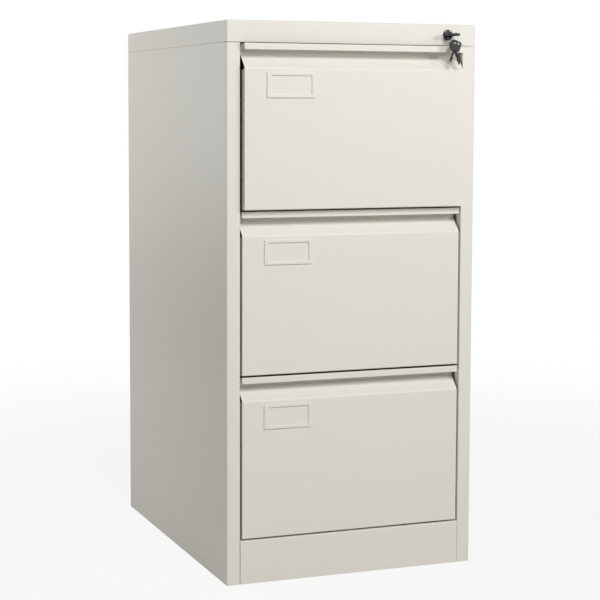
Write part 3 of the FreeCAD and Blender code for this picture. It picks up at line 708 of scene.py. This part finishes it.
# ---- drawers ----
class CABINET_OT_drawer_fronts(bpy.types.Operator):
    """Folds the three drawer fronts: flat face, slanted grip, roof and hemmed lip"""
    bl_idname = "cabinet.drawer_fronts"
    bl_label = "Drawer Fronts"

    def execute(self, context):
        for number in DRAWERS:
            self.front(context, number)
        return {"FINISHED"}

    def front(self, context, number):
        sheet = context.scene.cabinet_sheet
        sizes = context.scene.cabinet_front
        node = f"drawer_{number}_front"
        low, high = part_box(node)
        steel = sheet.steel
        wall = low.y + sizes.recess
        back = low.y + sizes.fold
        path = [(back, low.z), (low.y, low.z), (low.y, high.z - sizes.lower), (wall, high.z - sizes.upper),
                (wall, high.z - steel), (low.y + sizes.hem, high.z - steel)]
        skin = folded(rounded(path, [sheet.bend, sizes.slope_bend, sizes.slope_bend, 0.6 * MM]), steel)
        bm = bmesh.new()
        add_extrusion(bm, skin, "X", low.x, high.x)
        roof = [(wall + steel, high.z - steel), (wall + steel, high.z), (low.y, high.z),
                (low.y, high.z - sizes.lip), (low.y + sizes.hem, high.z - sizes.lip),
                (low.y + sizes.hem, high.z - steel)]
        lip = rounded([roof[-1]] + roof, [0, 0.5 * MM, sheet.bend * 0.8, 0.95 * MM, 0.95 * MM, 0])
        add_extrusion(bm, lip[1:-1], "X", low.x, high.x)
        for side in SIDES.values():
            edges = sorted((side * high.x, side * (high.x - steel)))
            cheek = [(low.y + steel * 0.6, low.z + steel), (back, low.z + steel),
                     (back, high.z - sizes.lower - 4 * steel),
                     (low.y + steel * 0.6, high.z - sizes.lower - steel)]
            add_extrusion(bm, cheek, "X", edges[0], edges[1])
        piece = make_object(bm, f"drawer_{number}_face")
        break_edges(piece, sheet.edge_break)
        hand_over(piece, f"drawer_{number}", "cabinet_paint", [shared_material("outside_paint")], node)


class CABINET_OT_card_frames(bpy.types.Operator):
    """Presses the raised frames that hold the label cards"""
    bl_idname = "cabinet.card_frames"
    bl_label = "Card Frames"

    def execute(self, context):
        for number in DRAWERS:
            self.frame_of(context, number)
        return {"FINISHED"}

    def frame_of(self, context, number):
        sizes = context.scene.cabinet_card
        node = f"drawer_{number}_card_holder"
        low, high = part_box(node)
        deep = high.y - low.y
        inner_low = (low.x + sizes.left_rim, low.z + sizes.rim)
        inner_high = (high.x - sizes.rim, high.z - sizes.rim)
        stages = [(0.0, 0.0), (0.0, 0.62), (0.05, 0.86), (0.16, 1.0), (0.80, 1.0), (0.95, 0.86), (1.0, 0.62),
                  (1.0, 0.0)]
        loops = []
        for inset, rise in stages:
            corner_low = (low.x + (inner_low[0] - low.x) * inset,
                          low.z + (inner_low[1] - low.z) * inset)
            corner_high = (high.x + (inner_high[0] - high.x) * inset,
                           high.z + (inner_high[1] - high.z) * inset)
            ring = rounded_rectangle(corner_low, corner_high, sizes.corner * (1 - 0.55 * inset))
            loops.append([placed("Y", spot, high.y - deep * rise) for spot in ring])
        bm = bmesh.new()
        add_loops(bm, loops, closed=True)
        piece = make_object(bm, f"card_frame_{number}")
        break_edges(piece, context.scene.cabinet_sheet.edge_break * 0.5, 1)
        hand_over(piece, f"drawer_{number}", "cabinet_paint", [shared_material("outside_paint")], node)


# ---- lock and keys ----
class CABINET_OT_lock_head(bpy.types.Operator):
    """Turns the lock's housing: rounded head with a rim, and a threaded sleeve"""
    bl_idname = "cabinet.lock_head"
    bl_label = "Lock Housing"

    def execute(self, context):
        lock = context.scene.cabinet_lock
        low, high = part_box("lock_housing")
        x, _, z = joints["lock_turn"]["pos_m"]
        radius = (high.x - low.x) / 2
        face = low.y
        seat = low.y + lock.head
        sleeve = lock.sleeve / 2
        bore = lock.bore / 2
        profile = [(face + 0.5 * MM, bore), (face, bore + 0.5 * MM), (face, radius - 1.9 * MM),
                   (face + 0.25 * MM, radius - 1.0 * MM), (face + 0.9 * MM, radius - 0.3 * MM),
                   (face + 1.7 * MM, radius), (seat - 0.3 * MM, radius), (seat, radius - 0.3 * MM),
                   (seat, sleeve)]
        turns = int((high.y - seat - MM) / lock.thread_pitch)
        for turn in range(turns):
            start = seat + MM + turn * lock.thread_pitch
            profile += [(start, sleeve), (start + lock.thread_pitch / 2, sleeve - lock.thread)]
        profile += [(high.y - 0.4 * MM, sleeve), (high.y, sleeve - 0.4 * MM), (high.y, bore)]
        bm = bmesh.new()
        add_turned(bm, profile, (x, z), 64)
        piece = make_object(bm, "lock_case")
        break_edges(piece, 0.1 * MM, 1)
        hand_over(piece, "cabinet", "lock_metal", [shared_material("lock_plating")], "lock_housing")
        return {"FINISHED"}


def grip_mesh(outline, slot, thickness):
    """A flat moulded grip with a slot, softly domed towards its edges; it lies in X and Z."""
    centre = sum(outline, Vector((0, 0))) / len(outline)
    bm = bmesh.new()
    half = thickness / 2
    steps = ((0.0, 0.35), (0.0, -0.35), (0.5, -0.8), (1.5, -1.0))
    rings = [(inset * MM, rise * half) for inset, rise in steps]
    layers = [(inset, rise) for inset, rise in reversed([(i, -r) for i, r in rings])] + rings[1:]
    loops = []
    for inset, along in layers:
        ring = [spot + (centre - spot).normalized() * inset for spot in outline]
        loops.append([placed("Y", spot, -along) for spot in ring])
    add_loops(bm, loops)
    piece = make_object(bm, "grip_blank")
    cutter = bmesh.new()
    add_extrusion(cutter, slot, "Y", -thickness, thickness)
    cut_away(piece, cutter)
    return piece


def blade_outline(width, start, end, cuts):
    """A blade seen from its flat side: straight back edge, cut front edge, pointed tip."""
    half = width / 2
    direction = 1 if end > start else -1
    span = abs(end - start)
    outline = [(-half, start), (-half, end - direction * half * 0.7), (-half * 0.3, end),
               (half * 0.25, end)]
    pitch = span * 0.72 / cuts
    depths = (0.42, 0.18, 0.5, 0.26, 0.36, 0.15, 0.45, 0.3, 0.2)
    for index in range(cuts):
        near = end - direction * (half * 0.5 + pitch * index)
        outline.append((half, near))
        outline.append((half - width * depths[index % len(depths)], near - direction * pitch * 0.4))
        outline.append((half - width * depths[index % len(depths)], near - direction * pitch * 0.6))
    outline.append((half, end - direction * (half * 0.5 + pitch * cuts)))
    outline.append((half, start))
    return outline


def add_blade(piece, outline, thickness):
    """Joins a blade, with a milled groove down each flat, to a grip as its second material."""
    bm = bmesh.new()
    add_extrusion(bm, outline, "Y", -thickness / 2, thickness / 2)
    blade = make_object(bm, "blade_blank")
    ends = sorted(spot[1] for spot in outline)
    groove = bmesh.new()
    for side in SIDES.values():
        edges = sorted((side * thickness * 0.28, side * thickness))
        add_box(groove, (-0.9 * MM, edges[0], ends[0] + 1.2 * MM), (0.1 * MM, edges[1], ends[-1] - 0.2 * MM))
    cut_away(blade, groove)
    for polygon in blade.data.polygons:
        polygon.material_index = 1
    bm = bmesh.new()
    bm.from_mesh(piece.data)
    bm.from_mesh(blade.data)
    bm.to_mesh(piece.data)
    bm.free()
    piece.data.materials.clear()
    bpy.data.objects.remove(blade)


def mark_blade(piece, limit, sign=-1):
    """Faces past the limit along Z take the blade's metal."""
    for polygon in piece.data.polygons:
        polygon.material_index = 1 if sign * (polygon.center.z - limit) > 0 else 0


class CABINET_OT_keys(bpy.types.Operator):
    """Moulds and cuts the key in the lock and the two spare keys on the ring"""
    bl_idname = "cabinet.keys"
    bl_label = "Keys"

    def execute(self, context):
        sizes = context.scene.cabinet_key
        self.fitted_key(sizes)
        for number in SPARE_KEYS:
            self.spare_key(sizes, number)
        return {"FINISHED"}

    def finish_key(self, piece, body, *nodes):
        break_edges(piece, 0.15 * MM)
        metals = [shared_material("grip_plastic"), shared_material("blade_nickel")]
        hand_over(piece, body, "key_plastic", metals, *nodes)

    def fitted_key(self, sizes):
        """Modelled hanging down from the lock's axis, then turned to lie level."""
        low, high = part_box("lock_key")
        x, _, z = joints["lock_turn"]["pos_m"]
        half = (high.x - low.x) / 2
        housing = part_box("lock_housing")[0].y
        root = housing - sizes.neck
        grip = rounded_rectangle((-half, low.y), (half, root), sizes.corner)
        slot_start = low.y + 4.0 * MM
        slot = rounded_rectangle((-6.5 * MM, slot_start), (6.5 * MM, slot_start + 8.5 * MM), 2 * MM)
        piece = grip_mesh(grip, slot, high.z - low.z)
        outline = blade_outline(sizes.key_blade_width, root, high.y, sizes.cuts)
        add_blade(piece, outline, sizes.key_blade_thick)
        mark_blade(piece, root, 1)
        piece.data.transform(Matrix.Translation((x, 0, z)) @ Matrix(((1, 0, 0, 0), (0, 0, 1, 0),
                                                                     (0, -1, 0, 0), (0, 0, 0, 1))))
        piece.name = "fitted_key"
        self.finish_key(piece, "lock_barrel", "lock_key")

    def spare_key(self, sizes, number):
        """Hung on the ring's lowest point, in front of or behind the other one."""
        tilt, half_width, height_share, blade, aside = SPARE_KEYS[number]
        low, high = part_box("key_ring")
        slot_deep = sizes.slot_height / 2
        pivot_x = (low.x + high.x) / 2
        pivot_z = low.z + 2 * sizes.wire - slot_deep
        layer = (low.y + high.y) / 2 + (number - 1.5) * (sizes.grip_thick + 0.5 * MM)
        centre = (slot_deep - sizes.slot_length / 2) * aside
        top = slot_deep + sizes.bridge
        foot = top - sizes.grip_height * height_share
        grip = rounded_rectangle((-half_width, foot), (half_width, top), sizes.corner)
        slot = rounded_rectangle((-sizes.slot_length / 2, -slot_deep), (sizes.slot_length / 2, slot_deep),
                                 slot_deep * 0.98)
        piece = grip_mesh(grip, slot, sizes.grip_thick)
        outline = blade_outline(sizes.blade_width, foot, foot - blade, sizes.cuts)
        if tilt < 0:
            outline = [(-across, along) for across, along in outline][::-1]
        add_blade(piece, outline, sizes.blade_thick)
        mark_blade(piece, foot)
        turn = Matrix.Rotation(tilt, 4, "Y")
        piece.data.transform(Matrix.Translation((pivot_x, layer, pivot_z)) @ turn
                             @ Matrix.Translation((centre, 0, 0)))
        piece.name = f"spare_key_{number}"
        self.finish_key(piece, "key_ring")


class CABINET_OT_key_ring(bpy.types.Operator):
    """Bends the split ring from a wire that goes round nearly twice"""
    bl_idname = "cabinet.key_ring"
    bl_label = "Key Ring"

    def execute(self, context):
        wire = context.scene.cabinet_key.wire
        low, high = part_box("key_ring")
        centre = (low + high) / 2
        radius = (high.y - low.y) / 2 - wire / 2
        turns = 1.9
        steps = 150
        spots = []
        for step in range(steps + 1):
            angle = 2 * math.pi * turns * step / steps
            shift = wire * (step / steps - 0.5)
            spots.append(Vector((centre.x + shift, centre.y + radius * math.sin(angle),
                                 centre.z + radius * math.cos(angle))))
        bm = bmesh.new()
        add_wire(bm, spots, wire / 2)
        piece = make_object(bm, "split_ring")
        hand_over(piece, "key_ring", "wire", [shared_material("bright_wire")], "key_ring")
        return {"FINISHED"}


# ---- everything that keeps its own shape ----
class CABINET_OT_inner_parts(bpy.types.Operator):
    """Paints or plates the parts whose own shape is kept"""
    bl_idname = "cabinet.inner_parts"
    bl_label = "Inner Parts"

    finishes = {
        "cabinet_paint": "outside_paint",
        "inner_paint": "inside_paint",
        "slide_steel": "slide_zinc",
        "bearing_steel": "ball_steel",
        "lock_metal": "lock_plating",
        "key_plastic": "grip_plastic",
        "wire": "bright_wire",
        "guide_plastic": "guide_nylon",
    }

    def execute(self, context):
        for part in frame["record"]["subparts"]:
            node = frame["nodes"][part["node"]]
            node.data.materials.clear()
            node.data.materials.append(shared_material(self.finishes[part["material_slot"]]))
        return {"FINISHED"}


# ---- stage ----
class CABINET_OT_stage(bpy.types.Operator):
    """Lays a pale floor and sets soft studio light and the camera"""
    bl_idname = "cabinet.stage"
    bl_label = "Stage"

    def execute(self, context):
        self.floor(context)
        self.world(context)
        self.lights(context)
        self.camera(context)
        context.scene.view_settings.view_transform = "Standard"
        return {"FINISHED"}

    def floor(self, context):
        bm = bmesh.new()
        reach = 14.0
        corners = [(-reach, -reach), (reach, -reach), (reach, reach), (-reach, reach)]
        bm.faces.new([bm.verts.new((x, y, -0.0005)) for x, y in corners])
        floor = make_object(bm, "studio_floor")
        floor.data.materials.append(self.paper(context))

    def paper(self, context):
        """Matt paper that fades to pure white away from the cabinet."""
        near, far = context.scene.cabinet_stage.clear
        material, tree, shader = new_material("studio_paper")
        shader.inputs["Base Color"].default_value = context.scene.cabinet_finish.floor
        shader.inputs["Roughness"].default_value = 0.9
        glow = add_node(tree, "ShaderNodeEmission")
        glow.inputs["Color"].default_value = WHITE
        reach = add_node(tree, "ShaderNodeVectorMath", operation="LENGTH")
        tree.links.new(add_node(tree, "ShaderNodeTexCoord").outputs["Object"], reach.inputs[0])
        fade = add_node(tree, "ShaderNodeMapRange", interpolation_type="SMOOTHSTEP")
        fade.inputs["From Min"].default_value = near
        fade.inputs["From Max"].default_value = far
        fade.inputs["To Min"].default_value = 0.88
        tree.links.new(reach.outputs["Value"], fade.inputs["Value"])
        seen = add_node(tree, "ShaderNodeLightPath").outputs["Is Camera Ray"]
        mix = add_node(tree, "ShaderNodeMixShader")
        tree.links.new(maths(tree, "MULTIPLY", fade.outputs["Result"], seen), mix.inputs["Fac"])
        tree.links.new(shader.outputs[0], mix.inputs[1])
        tree.links.new(glow.outputs[0], mix.inputs[2])
        tree.links.new(mix.outputs[0], tree.nodes["Material Output"].inputs["Surface"])
        return material

    def world(self, context):
        world = bpy.data.worlds.new("studio_world")
        world.use_nodes = True
        tree = world.node_tree
        light = tree.nodes["Background"]
        light.inputs["Color"].default_value = WHITE
        light.inputs["Strength"].default_value = context.scene.cabinet_stage.ambient
        seen = add_node(tree, "ShaderNodeBackground")
        seen.inputs["Strength"].default_value = 1.0
        seen.inputs["Color"].default_value = WHITE
        mix = add_node(tree, "ShaderNodeMixShader")
        tree.links.new(add_node(tree, "ShaderNodeLightPath").outputs["Is Camera Ray"], mix.inputs["Fac"])
        tree.links.new(light.outputs[0], mix.inputs[1])
        tree.links.new(seen.outputs[0], mix.inputs[2])
        tree.links.new(mix.outputs[0], tree.nodes["World Output"].inputs["Surface"])
        context.scene.world = world

    def lights(self, context):
        stage = context.scene.cabinet_stage
        for name, (place, target, size, power, part) in LIGHTS.items():
            self.area(name, place, target, size, getattr(stage, power) * part)

    def area(self, name, place, target, size, power):
        light = bpy.data.lights.new(name, "AREA")
        light.shape = "SQUARE"
        light.size = size
        light.energy = power
        lamp = bpy.data.objects.new(name, light)
        lamp.location = place
        lamp.rotation_euler = (Vector(target) - Vector(place)).to_track_quat("-Z", "Y").to_euler()
        bpy.context.scene.collection.objects.link(lamp)

    def camera(self, context):
        stage = context.scene.cabinet_stage
        camera = bpy.data.cameras.new("studio_camera")
        camera.lens = stage.lens
        camera.sensor_width = 36.0
        camera.shift_y = stage.rise
        eye = bpy.data.objects.new("studio_camera", camera)
        eye.matrix_world = (Matrix.Translation(stage.eye) @ Matrix.Rotation(-stage.turn, 4, "Z")
                            @ Matrix.Rotation(math.pi / 2 - stage.dip, 4, "X")
                            @ Matrix.Rotation(stage.roll, 4, "Z"))
        context.scene.collection.objects.link(eye)
        context.scene.camera = eye


OPERATORS = (
    CABINET_OT_inner_parts,
    CABINET_OT_top_cover,
    CABINET_OT_side_panels,
    CABINET_OT_plinth,
    CABINET_OT_back_screws,
    CABINET_OT_drawer_fronts,
    CABINET_OT_card_frames,
    CABINET_OT_lock_head,
    CABINET_OT_keys,
    CABINET_OT_key_ring,
    CABINET_OT_stage,
)


class CABINET_PT_pieces(bpy.types.Panel):
    """Lists the cabinet's pieces in the sidebar"""
    bl_idname = "CABINET_PT_pieces"
    bl_label = "Filing Cabinet"
    bl_space_type = "VIEW_3D"
    bl_region_type = "UI"
    bl_category = "Cabinet"

    def draw(self, context):
        for operator in OPERATORS:
            self.layout.operator(operator.bl_idname)
        for name, group in SETTINGS.items():
            box = self.layout.box()
            for label in group.__annotations__:
                box.prop(getattr(context.scene, name), label)


CLASSES = (*SETTINGS.values(), *OPERATORS, CABINET_PT_pieces)


def register():
    for item in CLASSES:
        bpy.utils.register_class(item)
    for name, group in SETTINGS.items():
        setattr(bpy.types.Scene, name, PointerProperty(type=group))


def unregister():
    for name in SETTINGS:
        delattr(bpy.types.Scene, name)
    for item in reversed(CLASSES):
        bpy.utils.unregister_class(item)


def main():
    register()
    for operator in OPERATORS:
        group, name = operator.bl_idname.split(".")
        getattr(getattr(bpy.ops, group), name)()


if __name__ == "__main__":
    main()
